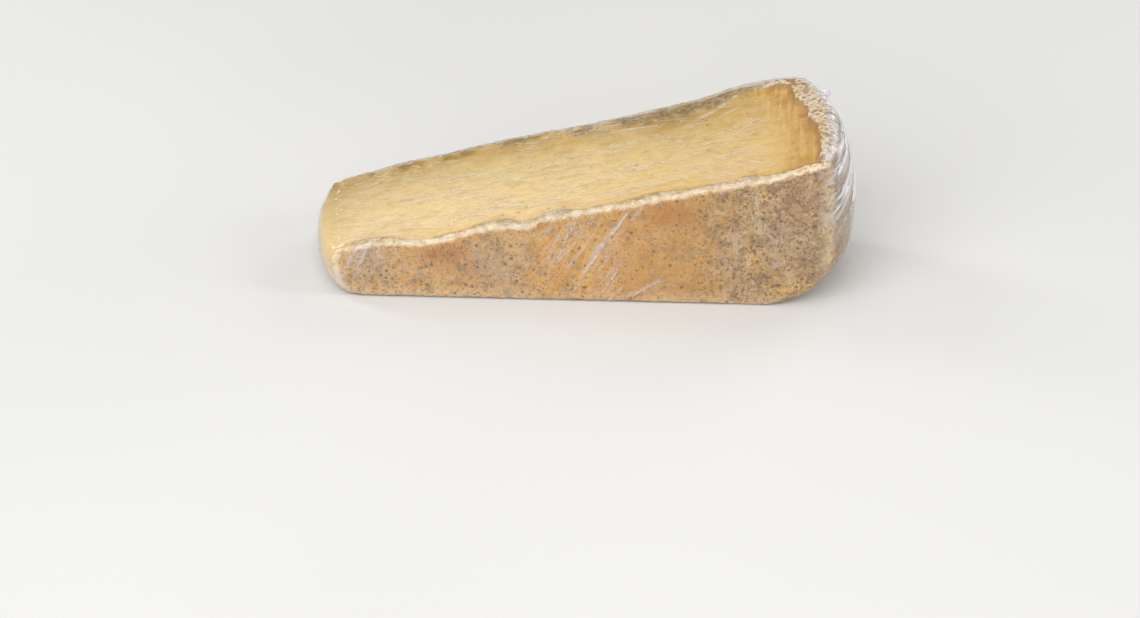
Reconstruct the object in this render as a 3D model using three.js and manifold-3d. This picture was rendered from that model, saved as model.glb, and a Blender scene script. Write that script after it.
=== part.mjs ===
// A wedge of tomme, a pressed mountain cheese with a natural rind, wrapped tightly in clear film.
// The wedge lies on one of its two cut faces. Its blunt tip points to -X, its heel, the piece of
// the wheel's round side, points to +X, and the flat rind faces of the wheel stand at -Y and +Y.
// Film and cheese are one solid here, because the film clings to the cheese all round.
// Millimetres, +Z up, origin in the middle of the footprint on the surface that the wedge lies on.

import * as THREE from "three";
import { mergeVertices } from "three/addons/utils/BufferGeometryUtils.js";
import Module from "manifold-3d";

// The cheese. Lengths run along the cut, thickness is that of the wheel, height is that of the cut.
const CUT_LENGTH = 161.5; // front rind face, from its tip edge to its heel edge
const THICKNESS_AT_TIP = 48;
const THICKNESS_AT_HEEL = 58;
const TIP_HEIGHT = 19.5;
const HEEL_HEIGHT = 54;
const BACK_EXTRA_HEIGHT = 6.5; // the knife leaned, so the upper cut climbs towards the back
const BACK_BOW = { at: 0.26, spread: 0.16, out: 3.4 }; // the back rind face bows out near the tip
const CUT_SAG = 2.6; // the upper cut dips between its ends
const EDGE_ROUND = new THREE.Vector3(4.5, 2.2, 2.0); // roundness of the edges along X, Y and Z
const BASE_ROUND = 0.7; // height of the rounding where the sides meet the lower cut

// Places along the upper edges, as shares of the length, where the crumbly rind has worn down.
// A depth below 0 is a place where it stands up.
const FRONT_DIPS = [
  { at: 0, spread: 0.05, depth: 1.6 },
  { at: 0.19, spread: 0.085, depth: 2.5 },
  { at: 0.385, spread: 0.03, depth: 1.7 },
  { at: 0.9, spread: 0.05, depth: 0.9 },
];
const BACK_DIPS = [
  { at: 0.12, spread: 0.045, depth: -0.9 },
  { at: 0.4, spread: 0.2, depth: -0.75 },
  { at: 0.85, spread: 0.06, depth: -1.2 },
  { at: 1, spread: 0.05, depth: 2.2 },
];

// The blunt tip bellies out and is cut askew. The heel keeps the belly of the wheel's side.
// A fullness of 1 gives a belly the shape of a parabola, and less than 1 a boxier one.
const TIP_BELLY = { out: 7, acrossFullness: 0.6, upFullness: 0.5, leftAtEdges: 0.35 };
const TIP_SKEW = 5;
const HEEL_BELLY = { out: 12.5, acrossFullness: 0.75, upFullness: 0.45, leftAtEdges: 0.17 };
const HEEL_SKEW = 7;
const HEEL_SKEW_CURVE = 1.6; // above 1, the skew grows faster towards the back
const HEEL_TUCK = 20; // the heel's lower edge is rounded off this far along the base
const HEEL_TUCK_HEIGHT = 17;
const TIP_TUCK = 6; // and the tip's lower edge this far
const TIP_TUCK_HEIGHT = 9;

// The ends' shapes fade out towards the middle, from these shares of the length.
const HEEL_SPREAD = 0.5;
const TIP_SPREAD = 0.35;

// The rind shows as a raised crust round the paste of the upper cut.
const CRUST_WIDTH = 3.2;
const CRUST_SCALLOP = 1.6; // how far the crust's inner edge wanders
const CRUST_RISE = 0.7;
const PASTE_SINK = 1.2;
const RIND_BUMP = 0.35;

// The film is drawn in folds over the heel and the tip, and ends in a small twist.
const HEEL_FOLDS = 17;
const HEEL_FOLD_DEPTH = 0.9;
const TIP_FOLDS = 5;
const TIP_FOLD_DEPTH = 0.45;
const TWIST_RADIUS = 2.1;
const TWIST_LENGTH = 5.2;
const TWIST_PLEATS = 7;

// Cells of the surface along, across and up the wedge.
const CELLS = { along: 58, across: 18, up: 17 };
const EDGE_CROWDING = 0.55; // 0 spaces the cells evenly, 1 crowds them towards the edges

const { lerp, clamp, smoothstep } = THREE.MathUtils;

// A repeatable random number from 0 to 1 for each whole-numbered place.
function placeHash(i, j, k) {
  let h = Math.imul(i, 374761393) ^ Math.imul(j, 668265263) ^ Math.imul(k, 1274126177);
  h = Math.imul(h ^ (h >>> 13), 1103515245);
  return ((h ^ (h >>> 16)) >>> 0) / 0xffffffff;
}

// Smooth noise from -1 to 1 that changes over about `grain` millimetres.
function bumps(x, y, z, grain) {
  const cell = [x, y, z].map((v) => Math.floor(v / grain));
  const part = [x, y, z].map((v, axis) => smoothstep(v / grain - cell[axis], 0, 1));
  let sum = 0;
  for (let corner = 0; corner < 8; corner++) {
    const step = [corner & 1, (corner >> 1) & 1, corner >> 2];
    const share = step.reduce((w, s, axis) => w * (s ? part[axis] : 1 - part[axis]), 1);
    sum += share * placeHash(cell[0] + step[0], cell[1] + step[1], cell[2] + step[2]);
  }
  return 2 * sum - 1;
}

// How far an edge is worn down at a place along it.
function wornBy(dips, along) {
  return dips.reduce((sum, dip) => sum + dip.depth * Math.exp(-(((along - dip.at) / dip.spread) ** 2)), 0);
}

// How thick the wedge is, from its front rind face to its back one, at a place along it.
function thicknessAt(along) {
  const bow = BACK_BOW.out * Math.exp(-(((along - BACK_BOW.at) / BACK_BOW.spread) ** 2));
  return lerp(THICKNESS_AT_TIP, THICKNESS_AT_HEEL, along) + bow;
}

// Height of the upper cut, where `along` and `across` run from 0 to 1.
function cutHeight(along, across) {
  const front = lerp(TIP_HEIGHT, HEEL_HEIGHT, along) - CUT_SAG * 4 * along * (1 - along);
  const back = lerp(TIP_HEIGHT, HEEL_HEIGHT + BACK_EXTRA_HEIGHT, along);
  const nearFront = (1 - across) ** 3;
  const nearBack = across ** 3;
  const worn = nearFront * wornBy(FRONT_DIPS, along) + nearBack * wornBy(BACK_DIPS, along);
  return lerp(front, back, across) - worn;
}

// An arch over the range from 0 to 1: nothing at both ends, 1 in the middle.
function arch(share, fullness) {
  return Math.pow(clamp(4 * share * (1 - share), 0, 1), fullness);
}

// How far an end bellies out: an arch across the wedge, which flattens towards its upper and lower edge.
function bellyOut(belly, across, up) {
  const overHeight = lerp(belly.leftAtEdges, 1, arch(up, belly.upFullness));
  return belly.out * arch(across, belly.acrossFullness) * overHeight;
}

// Splits a distance along an edge of the given length into the flat part that the point sits over
// and how far it has gone round the rounding at either end.
function roundOff(distance, length, radius, firstRadius = radius) {
  const flat = clamp(distance, firstRadius, length - radius);
  const reach = distance < flat ? firstRadius : radius;
  return { flat, reach, turn: (distance - flat) / reach };
}

// Crowds a place from -1 to 1 towards both ends, and gives it as a share from 0 to 1.
function crowd(place) {
  const crowded = lerp(place, Math.sin((place * Math.PI) / 2), EDGE_CROWDING);
  return (crowded + 1) / 2;
}

// One point of the plain wedge, from a point on the cube of side 2.
function wedgePoint(cubePoint) {
  const [along, across, up] = cubePoint.toArray().map(crowd);
  const thickness = thicknessAt(along);
  const height = cutHeight(along, across);

  const x = roundOff(along * CUT_LENGTH, CUT_LENGTH, EDGE_ROUND.x);
  const y = roundOff(across * thickness, thickness, EDGE_ROUND.y);
  const z = roundOff(up * height, height, EDGE_ROUND.z, BASE_ROUND);
  const outward = new THREE.Vector3(x.turn, y.turn, z.turn).normalize();
  const rounding = new THREE.Vector3(x.reach, y.reach, z.reach);
  const point = new THREE.Vector3(x.flat, y.flat, z.flat).add(outward.multiply(rounding));

  point.x += heelShift(along, across, up, point.z) - tipShift(along, across, up, point.z);
  return point;
}

// How far a lower edge that is rounded off like a quarter of an ellipse lies inside, at a height.
function tuckIn(height, reach, top) {
  const left = 1 - clamp(height / top, 0, 1);
  return reach * (1 - Math.sqrt(1 - left * left));
}

// How far the heel stands out past its straight edge.
function heelShift(along, across, up, height) {
  const out = bellyOut(HEEL_BELLY, across, up) - HEEL_SKEW * across ** HEEL_SKEW_CURVE;
  const tuck = tuckIn(height, HEEL_TUCK, HEEL_TUCK_HEIGHT);
  const nearHeel = clamp((along - HEEL_SPREAD) / (1 - HEEL_SPREAD), 0, 1);
  return (out - tuck) * nearHeel ** 2;
}

// How far the blunt tip stands out past its straight edge.
function tipShift(along, across, up, height) {
  const out = TIP_SKEW * across + bellyOut(TIP_BELLY, across, up);
  const nearTip = clamp(1 - along / TIP_SPREAD, 0, 1);
  return (out - tuckIn(height, TIP_TUCK, TIP_TUCK_HEIGHT)) * nearTip ** 2;
}

// The crust round the paste, on the upper cut alone: the paste sinks inside it.
function crustRelief(p, face) {
  if (face.top < 0.5) return 0;
  const wander = CRUST_SCALLOP * bumps(p.x, p.y, 0, 9) + 0.5 * CRUST_SCALLOP * bumps(p.x, p.y, 7, 4);
  const toHeel = CUT_LENGTH * (1 - face.along) - HEEL_SKEW * 0.3;
  const inward = Math.min(face.fromFront, face.fromBack, toHeel) - wander;
  const sunk = smoothstep(inward, CRUST_WIDTH * 0.55, CRUST_WIDTH * 1.5);
  const ridge = Math.exp(-(((inward - CRUST_WIDTH * 0.45) / (CRUST_WIDTH * 0.6)) ** 2));
  const crumble = 0.6 + 0.4 * bumps(p.x, p.y, 3, 5);
  return CRUST_RISE * ridge * crumble - PASTE_SINK * sunk;
}

// Uneven natural rind on the flat faces and the heel.
function rindRelief(p) {
  return RIND_BUMP * (bumps(p.x, p.y, p.z, 14) + 0.6 * bumps(p.x, p.y, p.z, 6));
}

// Folds of film that fan out over the heel from the twist, and run round the blunt tip.
function filmRelief(p, face, twist) {
  const atHeel = smoothstep(face.along, 0.93, 1) * face.end;
  const atTip = (1 - smoothstep(face.along, 0, 0.05)) * face.end;
  const angle = Math.atan2(p.z - twist.z, p.y - twist.y);
  const fan = Math.sin(angle * HEEL_FOLDS + 2.2 * bumps(p.y, p.z, 11, 15));
  const wraps = Math.sin((p.z / TIP_HEIGHT) * Math.PI * TIP_FOLDS + 1.8 * bumps(p.y, p.z, 5, 12));
  return HEEL_FOLD_DEPTH * fan * atHeel + TIP_FOLD_DEPTH * wraps * atTip;
}

// The closed surface of a geometry with one vertex at each place.
function welded(geometry) {
  geometry.deleteAttribute("normal");
  geometry.deleteAttribute("uv");
  return mergeVertices(geometry, 1e-4);
}

// The wedge: a gridded cube, drawn into a rounded wedge and given its relief along the normals.
function wedgeGeometry(twist) {
  const box = new THREE.BoxGeometry(2, 2, 2, CELLS.along, CELLS.across, CELLS.up);
  const geometry = welded(box);
  const position = geometry.attributes.position;
  const cubePoints = [];
  for (let i = 0; i < position.count; i++) {
    const cubePoint = new THREE.Vector3().fromBufferAttribute(position, i);
    cubePoints.push(cubePoint);
    position.setXYZ(i, ...wedgePoint(cubePoint).toArray());
  }
  geometry.computeVertexNormals();

  const normal = geometry.attributes.normal;
  for (let i = 0; i < position.count; i++) {
    const p = new THREE.Vector3().fromBufferAttribute(position, i);
    const n = new THREE.Vector3().fromBufferAttribute(normal, i);
    const [along, across] = cubePoints[i].toArray().map(crowd);
    const thickness = thicknessAt(along);
    const face = {
      along,
      fromFront: across * thickness,
      fromBack: (1 - across) * thickness,
      top: n.z,
      end: Math.abs(n.x),
    };
    const offBase = smoothstep(p.z, 0, 4); // the lower cut stays flat where the wedge rests
    const relief = crustRelief(p, face) + rindRelief(p) * (1 - n.z ** 2) + filmRelief(p, face, twist);
    p.addScaledVector(n, relief * offBase);
    position.setXYZ(i, p.x, p.y, Math.max(p.z, 0));
  }
  geometry.deleteAttribute("normal");
  return geometry;
}

// The small twisted end of the film: a pleated knob with a pinched neck.
function twistGeometry(place, direction) {
  const outline = [
    [0, -TWIST_LENGTH * 0.5],
    [TWIST_RADIUS * 0.9, -TWIST_LENGTH * 0.5],
    [TWIST_RADIUS * 0.55, 0],
    [TWIST_RADIUS * 0.95, TWIST_LENGTH * 0.22],
    [TWIST_RADIUS, TWIST_LENGTH * 0.38],
    [TWIST_RADIUS * 0.6, TWIST_LENGTH * 0.5],
    [0, TWIST_LENGTH * 0.45],
  ].map(([radius, height]) => new THREE.Vector2(radius, height));
  const geometry = new THREE.LatheGeometry(outline, TWIST_PLEATS * 2);
  const position = geometry.attributes.position;
  for (let i = 0; i < position.count; i++) {
    const p = new THREE.Vector3().fromBufferAttribute(position, i);
    const turn = Math.atan2(p.z, p.x) + (p.y / TWIST_LENGTH) * 0.9;
    const pleat = 1 + 0.16 * Math.cos(turn * TWIST_PLEATS);
    position.setXYZ(i, p.x * pleat, p.y, p.z * pleat);
  }
  const lean = new THREE.Quaternion().setFromUnitVectors(new THREE.Vector3(0, 1, 0), direction);
  geometry.applyQuaternion(lean);
  geometry.translate(...place.toArray());
  return welded(geometry);
}

const wasm = await Module();
wasm.setup();

function solidOf(geometry) {
  const vertProperties = new Float32Array(geometry.attributes.position.array);
  const triVerts = new Uint32Array(geometry.index.array);
  return new wasm.Manifold(new wasm.Mesh({ numProp: 3, vertProperties, triVerts }));
}

function geometryOf(solid) {
  const { vertProperties, triVerts } = solid.getMesh();
  return new THREE.BufferGeometry()
    .setAttribute("position", new THREE.BufferAttribute(vertProperties, 3))
    .setIndex(new THREE.BufferAttribute(triVerts, 1));
}

// Film and cheese as one solid, centred on its footprint.
function wrappedWedge() {
  const twistPlace = new THREE.Vector3(CUT_LENGTH - 1.2, THICKNESS_AT_HEEL * 0.86, HEEL_HEIGHT + 0.2);
  const twistDirection = new THREE.Vector3(0.8, 0.15, 0.6).normalize();
  const wedge = solidOf(wedgeGeometry(twistPlace));
  const twist = solidOf(twistGeometry(twistPlace, twistDirection));
  const geometry = geometryOf(wedge.add(twist));

  geometry.computeBoundingBox();
  const middle = geometry.boundingBox.getCenter(new THREE.Vector3());
  geometry.translate(-middle.x, -middle.y, -geometry.boundingBox.min.z);
  geometry.computeVertexNormals();
  return geometry;
}

const wrappedCheese = new THREE.MeshStandardMaterial({ color: 0xd8b786, roughness: 0.35, metalness: 0 });
const mesh = new THREE.Mesh(wrappedWedge(), wrappedCheese);
mesh.name = "wrapped_wedge";

const cheese = new THREE.Group();
cheese.add(mesh);

export default cheese;
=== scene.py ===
# %% [markdown]
# # A wedge of tomme in clear film
# The real thing is a wedge of pressed mountain cheese. It lies on one of its two cut faces, so the
# flat sides of the wheel stand upright as grey-brown rind, and the other cut face shows pale paste.
# Clear film is pulled tight round it, and its ends are gathered over the heel and the tip.
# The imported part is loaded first, because every size below is worked out from its box.

from math import pi, radians

import bmesh
import bpy
import numpy as np
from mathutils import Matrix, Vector, noise


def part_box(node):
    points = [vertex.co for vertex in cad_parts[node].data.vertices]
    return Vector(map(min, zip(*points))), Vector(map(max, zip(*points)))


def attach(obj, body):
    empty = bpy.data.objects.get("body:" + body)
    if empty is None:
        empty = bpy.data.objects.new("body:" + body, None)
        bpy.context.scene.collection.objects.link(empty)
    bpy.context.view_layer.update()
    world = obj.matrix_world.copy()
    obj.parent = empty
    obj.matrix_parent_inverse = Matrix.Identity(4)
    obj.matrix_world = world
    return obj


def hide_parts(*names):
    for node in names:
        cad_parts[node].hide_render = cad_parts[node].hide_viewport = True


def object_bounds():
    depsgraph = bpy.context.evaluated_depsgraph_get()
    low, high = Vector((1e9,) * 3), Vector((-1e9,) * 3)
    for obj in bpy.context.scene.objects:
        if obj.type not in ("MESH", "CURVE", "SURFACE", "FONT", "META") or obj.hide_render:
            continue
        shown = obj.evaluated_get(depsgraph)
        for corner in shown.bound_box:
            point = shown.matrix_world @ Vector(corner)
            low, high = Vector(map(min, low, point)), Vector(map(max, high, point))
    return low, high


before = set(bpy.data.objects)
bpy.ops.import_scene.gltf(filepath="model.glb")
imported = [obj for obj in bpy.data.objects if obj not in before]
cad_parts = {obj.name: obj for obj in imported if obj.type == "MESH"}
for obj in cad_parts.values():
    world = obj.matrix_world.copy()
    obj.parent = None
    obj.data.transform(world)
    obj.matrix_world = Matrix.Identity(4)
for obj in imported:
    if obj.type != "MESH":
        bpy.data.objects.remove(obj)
cad_low, cad_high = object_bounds()
low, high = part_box("wrapped_wedge")
MM = 0.001
print("the part is", [round(side / MM, 1) for side in high - low], "mm")

# %% [markdown]
# ## The camera
# A photograph of food is taken from a little above the table with a long lens, which keeps parallel
# edges nearly parallel. The camera is set up first, so that each step can be looked at through it.
# It is placed by its turn, its lift and its distance from the point that it aims at.

# %% The camera
PHOTO_WIDTH = 1140
FOCAL_PIXELS = 3500
PIXEL_SIZE = 0.334 * MM
CAMERA_TURN = radians(2.8)
CAMERA_LIFT = radians(30)
CAMERA_AIM = Vector((-3.2, -33.8, 0)) * MM

backwards = Vector((0, 0, 1))
bpy.ops.object.camera_add(rotation=(pi / 2 - CAMERA_LIFT, 0, CAMERA_TURN))
camera = bpy.context.object
backwards.rotate(camera.rotation_euler)
camera.location = CAMERA_AIM + backwards * FOCAL_PIXELS * PIXEL_SIZE
camera.data.lens = FOCAL_PIXELS / PHOTO_WIDTH * camera.data.sensor_width
bpy.context.scene.camera = camera
print("lens", round(camera.data.lens, 1), "mm, distance", round(FOCAL_PIXELS * PIXEL_SIZE, 3), "m")

# %% [markdown]
# ## Working in edit mode from code
# By hand, a modeller clicks on what to change and then moves it. Code has no mouse, so it selects
# by a test: it is run on each vertex or edge, and the operators then act on what passed.

# %% Select by a test, then move
def make_active(piece):
    """Selects one piece alone, for the operators to act on."""
    bpy.ops.object.select_all(action="DESELECT")
    piece.select_set(True)
    bpy.context.view_layer.objects.active = piece


def edit(piece):
    """Goes into edit mode on one piece."""
    make_active(piece)
    bpy.ops.object.mode_set(mode="EDIT")


def pick(piece, test, kind="VERT"):
    """Selects the vertices, or the edges, that pass the test, and gives their number."""
    bpy.ops.mesh.select_mode(type=kind)
    bpy.ops.mesh.select_all(action="DESELECT")
    shape = bmesh.from_edit_mesh(piece.data)
    parts = shape.verts if kind == "VERT" else shape.edges
    for part in parts:
        part.select = test(part)
    shape.select_flush_mode()
    bmesh.update_edit_mesh(piece.data)
    return sum(part.select for part in parts)


def way_of(edge):
    """The direction of an edge, with a length of 1."""
    return (edge.verts[1].co - edge.verts[0].co).normalized()


def leave():
    """Goes back to object mode."""
    bpy.ops.object.mode_set(mode="OBJECT")


def finish_with(piece, kind, **settings):
    """Adds a modifier with these settings and applies it."""
    make_active(piece)
    modifier = piece.modifiers.new(kind.title(), kind)
    for setting, value in settings.items():
        setattr(modifier, setting, value)
    bpy.ops.object.modifier_apply(modifier=modifier.name)


# %% [markdown]
# ## The block of cheese
# A wedge is a slice of a round, low wheel. Here it lies on its side: its thickness is the height of
# the wheel, and it grows from a blunt tip to the heel, which is a piece of the wheel's round side.
# It could be cut from a cylinder, but real wedges lean and sag. So it starts as a box whose corners
# are moved, as a cook would describe it: lower the tip, narrow the tip, lift the far corner.

# %% The box and its corners
CUT_LENGTH = 161.5 * MM
THICKNESS_AT_TIP = 48 * MM
THICKNESS_AT_HEEL = 58 * MM
TIP_HEIGHT = 19.5 * MM
HEEL_HEIGHT = 54 * MM
BACK_EXTRA_HEIGHT = 6.5 * MM
TIP_EDGE_X = low.x + 10.4 * MM
HEEL_EDGE_X = TIP_EDGE_X + CUT_LENGTH
FRONT_Y = low.y + 0.46 * MM

middle = Vector((TIP_EDGE_X + CUT_LENGTH / 2, FRONT_Y + THICKNESS_AT_HEEL / 2, HEEL_HEIGHT / 2))
bpy.ops.object.select_all(action="DESELECT")
bpy.ops.mesh.primitive_cube_add(
    size=1, location=middle, scale=(CUT_LENGTH, THICKNESS_AT_HEEL, HEEL_HEIGHT)
)
block = bpy.context.object
block.name = "block"
bpy.ops.object.transform_apply(location=True, rotation=True, scale=True)

edit(block)
pick(block, lambda corner: corner.co.x < middle.x and corner.co.z > middle.z)
bpy.ops.transform.translate(value=(0, 0, TIP_HEIGHT - HEEL_HEIGHT))
pick(block, lambda corner: corner.co.x < middle.x and corner.co.y > middle.y)
bpy.ops.transform.translate(value=(0, THICKNESS_AT_TIP - THICKNESS_AT_HEEL, 0))
pick(block, lambda corner: min(corner.co - middle) > 0)
bpy.ops.transform.translate(value=(0, 0, BACK_EXTRA_HEIGHT))

# %% Cut the box into cells
CELLS = {"x": 40, "y": 14, "z": 12}
FINER = 4
for axis, (letter, cells) in enumerate(CELLS.items()):
    edges = pick(block, lambda edge: abs(way_of(edge)[axis]) > 0.8, "EDGE")
    bpy.ops.mesh.subdivide(number_cuts=cells - 1)
    print("cut", edges, "edges along", letter, "into", cells)
bpy.ops.mesh.select_all(action="SELECT")
bpy.ops.mesh.subdivide(number_cuts=FINER - 1)
leave()

# %% [markdown]
# ## Sag, skew and bellies
# The upper cut dips between its ends, and the crumbly rim is worn down in a few places. The back
# face bows out near the tip, which is cut askew. The heel keeps the round belly of the wheel and is
# rounded off below. Each of these is a smooth move of many points at once. By hand it would be
# proportional editing. In code it is clearer as a formula of the place along, across and up the
# wedge, each from 0 to 1.

# %% The shape as formulas
# Each dip is its place along the wedge, its reach and its depth in mm. Below 0 it stands up.
CUT_SAG = 2.6 * MM
FRONT_DIPS = [(0, 0.05, 1.6), (0.19, 0.085, 2.5), (0.385, 0.03, 1.7), (0.9, 0.05, 0.9)]
BACK_DIPS = [(0.12, 0.045, -0.9), (0.4, 0.2, -0.75), (0.85, 0.06, -1.2), (1, 0.05, 2.2)]
BACK_BOW = {"at": 0.26, "spread": 0.16, "out": 3.4 * MM}
TIP_BELLY = {"out": 7 * MM, "across": 0.6, "up": 0.5, "left_at_edges": 0.35}
TIP_SKEW = 5 * MM
TIP_TUCK, TIP_TUCK_HEIGHT = 6 * MM, 9 * MM
TIP_SPREAD = 0.35
HEEL_BELLY = {"out": 12.5 * MM, "across": 0.75, "up": 0.45, "left_at_edges": 0.17}
HEEL_SKEW, HEEL_SKEW_CURVE = 7 * MM, 1.6
HEEL_TUCK, HEEL_TUCK_HEIGHT = 20 * MM, 17 * MM
HEEL_SPREAD = 0.5
EDGE_ROUND = Vector((4.5, 2.2, 2.0)) * MM
BASE_ROUND = 0.7 * MM


def worn_by(dips, along):
    """How far an edge is worn down by its dips."""
    return sum(depth * MM * np.exp(-(((along - at) / spread) ** 2)) for at, spread, depth in dips)


def straight_thickness(along):
    """Thickness if the back face were flat."""
    return THICKNESS_AT_TIP + (THICKNESS_AT_HEEL - THICKNESS_AT_TIP) * along


def thickness_at(along):
    """Thickness as it is, with the back face bowed out near the tip."""
    bow = np.exp(-(((along - BACK_BOW["at"]) / BACK_BOW["spread"]) ** 2))
    return straight_thickness(along) + BACK_BOW["out"] * bow


def straight_height(along, across):
    """Height of the upper cut if the knife had gone straight."""
    front = TIP_HEIGHT + (HEEL_HEIGHT - TIP_HEIGHT) * along
    return front + BACK_EXTRA_HEIGHT * along * across


def cut_height(along, across):
    """Height of the upper cut as it is, sagged and worn."""
    sag = CUT_SAG * 4 * along * (1 - along) * (1 - across)
    worn = (1 - across) ** 3 * worn_by(FRONT_DIPS, along) + across**3 * worn_by(BACK_DIPS, along)
    return straight_height(along, across) - sag - worn


def arch(share, fullness):
    """0 at both ends and 1 in the middle, and fuller the nearer its power is to 0."""
    return np.clip(4 * share * (1 - share), 0, 1) ** fullness


def belly_out(belly, across, up):
    """How far a belly stands out, across and up its face."""
    over_height = belly["left_at_edges"] + (1 - belly["left_at_edges"]) * arch(up, belly["up"])
    return belly["out"] * arch(across, belly["across"]) * over_height


def tuck_in(height, reach, top):
    """How far a rounded lower edge lies inside, at a height."""
    left = 1 - np.clip(height / top, 0, 1)
    return reach * (1 - np.sqrt(1 - left**2))


def round_off(distance, length, radius, first_radius):
    """Splits a distance along an edge into its flat part and its turn round either end."""
    flat = np.clip(distance, first_radius, length - radius)
    reach = np.where(distance < flat, first_radius, radius)
    return flat, reach, (distance - flat) / reach


def heel_out(across, up, height):
    """How far the heel lies past the straight end of the cut."""
    skew = HEEL_SKEW * np.clip(across, 0, 1) ** HEEL_SKEW_CURVE
    return belly_out(HEEL_BELLY, across, up) - skew - tuck_in(height, HEEL_TUCK, HEEL_TUCK_HEIGHT)


def tip_out(across, up, height):
    """How far the tip lies past the straight start of the cut."""
    out = TIP_SKEW * across + belly_out(TIP_BELLY, across, up)
    return out - tuck_in(height, TIP_TUCK, TIP_TUCK_HEIGHT)


# %% Move the block's vertices
def places_of(piece):
    """The place of every vertex, one row each."""
    places = np.empty(len(piece.data.vertices) * 3)
    piece.data.vertices.foreach_get("co", places)
    return places.reshape(-1, 3)


def set_places(piece, places):
    piece.data.vertices.foreach_set("co", places.ravel())
    piece.data.update()


places = places_of(block)
along = (places[:, 0] - TIP_EDGE_X) / CUT_LENGTH
thickness = thickness_at(along)
across = (places[:, 1] - FRONT_Y) / straight_thickness(along)
up = places[:, 2] / straight_height(along, across)
height = cut_height(along, across)
sides = (
    round_off(along * CUT_LENGTH, CUT_LENGTH, EDGE_ROUND.x, EDGE_ROUND.x),
    round_off(across * thickness, thickness, EDGE_ROUND.y, EDGE_ROUND.y),
    round_off(up * height, height, EDGE_ROUND.z, BASE_ROUND),
)
flat, reach, turn = (np.stack(parts, axis=1) for parts in zip(*sides))
outward = turn / np.linalg.norm(turn, axis=1, keepdims=True)
places = flat + reach * outward + (TIP_EDGE_X, FRONT_Y, 0)
near_heel = np.clip((along - HEEL_SPREAD) / (1 - HEEL_SPREAD), 0, 1) ** 2
near_tip = np.clip(1 - along / TIP_SPREAD, 0, 1) ** 2
places[:, 0] += heel_out(across, up, places[:, 2]) * near_heel
places[:, 0] -= tip_out(across, up, places[:, 2]) * near_tip
set_places(block, places)
print("the block has", len(block.data.polygons), "faces")

# %% Even out the faces
GRAIN = 0.64 * MM
finish_with(block, "REMESH", mode="VOXEL", voxel_size=GRAIN, use_smooth_shade=True)
finish_with(block, "SMOOTH", factor=0.5, iterations=4)
print("remeshed into", len(block.data.polygons), "faces of", GRAIN / MM, "mm")

# %% [markdown]
# ## Cheese and film part ways
# The block is the outside of the wrapped wedge. The film is that outside, and the cheese lies just
# under it. So the block is copied once: the copy becomes the film, and the block itself is carved.

# %% A copy for the film
film = block.copy()
film.data = block.data.copy()
film.name = "cling_film"
bpy.context.scene.collection.objects.link(film)
cheese = block
cheese.name = "cheese_wedge"
print("two pieces of", len(film.data.vertices), "points each")

# %% [markdown]
# ## How deep a place lies
# Rind, crust and paste differ by how far in they lie: rind on the outside of the wheel, crust in a
# narrow band just inside it, paste in the middle. Two depths tell them apart. One is measured from
# the nearest rind face, the other from the nearest cut.

# %% Depths below the six faces
def depths_of(places):
    """How far each place lies inside each of the six faces, in metres."""
    along = np.clip((places[:, 0] - TIP_EDGE_X) / CUT_LENGTH, -0.1, 1.1)
    thickness = thickness_at(along)
    across = (places[:, 1] - FRONT_Y) / thickness
    up = places[:, 2] / straight_height(along, across)
    share = np.clip(across, 0, 1), np.clip(up, 0, 1), places[:, 2]
    return {
        "front": places[:, 1] - FRONT_Y,
        "back": thickness - (places[:, 1] - FRONT_Y),
        "heel": HEEL_EDGE_X + heel_out(*share) - places[:, 0],
        "tip": places[:, 0] - TIP_EDGE_X + tip_out(*share),
        "top": cut_height(along, across) - places[:, 2],
        "base": places[:, 2],
    }


def ease(value, start, end):
    """Goes smoothly from 0 at the start to 1 at the end, and stays there."""
    share = np.clip((value - start) / (end - start), 0, 1)
    return share * share * (3 - 2 * share)


def bump_at(value, centre, reach):
    """A smooth hump, 1 at its centre."""
    return np.exp(-(((value - centre) / reach) ** 2))


# %% Noise and bubbles on every point
def grain(places, size, octaves=3, shift=0.0):
    """Soft noise, about -1 to 1, whose widest lumps have this size."""
    away = Vector((shift, shift, shift))
    points = (Vector(place) / size + away for place in places.tolist())
    return np.array([noise.fractal(point, 1.0, 2.0, octaves) for point in points])


def bubbles(places, size):
    """Rounded lumps of this size, 1 on top of each and 0 in the cracks between them."""
    nearest = [noise.voronoi(Vector(place) / size)[0][0] for place in places.tolist()]
    return np.clip(1 - (np.array(nearest) / 0.75) ** 2, 0, 1)


def normals_of(piece):
    normals = np.empty(len(piece.data.vertices) * 3)
    piece.data.vertices.foreach_get("normal", normals)
    return normals.reshape(-1, 3)


def keep_on(piece, name, values, kind="FLOAT"):
    """Stores one value per point on the mesh, for its material to read."""
    channel = "vector" if kind == "FLOAT_VECTOR" else "value"
    attribute = piece.data.attributes.new(name, kind, "POINT")
    attribute.data.foreach_set(channel, np.ascontiguousarray(values, dtype=np.float32).ravel())


# %% [markdown]
# ## The crust line
# The rind of a tomme is thicker in some places than in others. On the cut its inner border runs in
# scallops along the front. It is broad and bubbly at the heel, and brown with old mould behind.

# %% Width of the crust
FRONT_CRUST, BACK_CRUST = 2.0 * MM, 2.7 * MM
HEEL_CRUST_IN_FRONT, HEEL_CRUST_GROWTH = 2.8 * MM, 5.4 * MM
CRUST_LUMPS = [(-66, 8, 0.9), (-28, 9, 1.7), (-8, 8, 1.5), (25, 13, 1.9), (56, 6, 1.7)]
MOULD_AT, MOULD_REACH, MOULD_EXTRA = 34 * MM, 19 * MM, 5.0 * MM
CORNER_AT, CORNER_REACH, CORNER_EXTRA = 68 * MM, 9 * MM, 2.2 * MM


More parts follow.
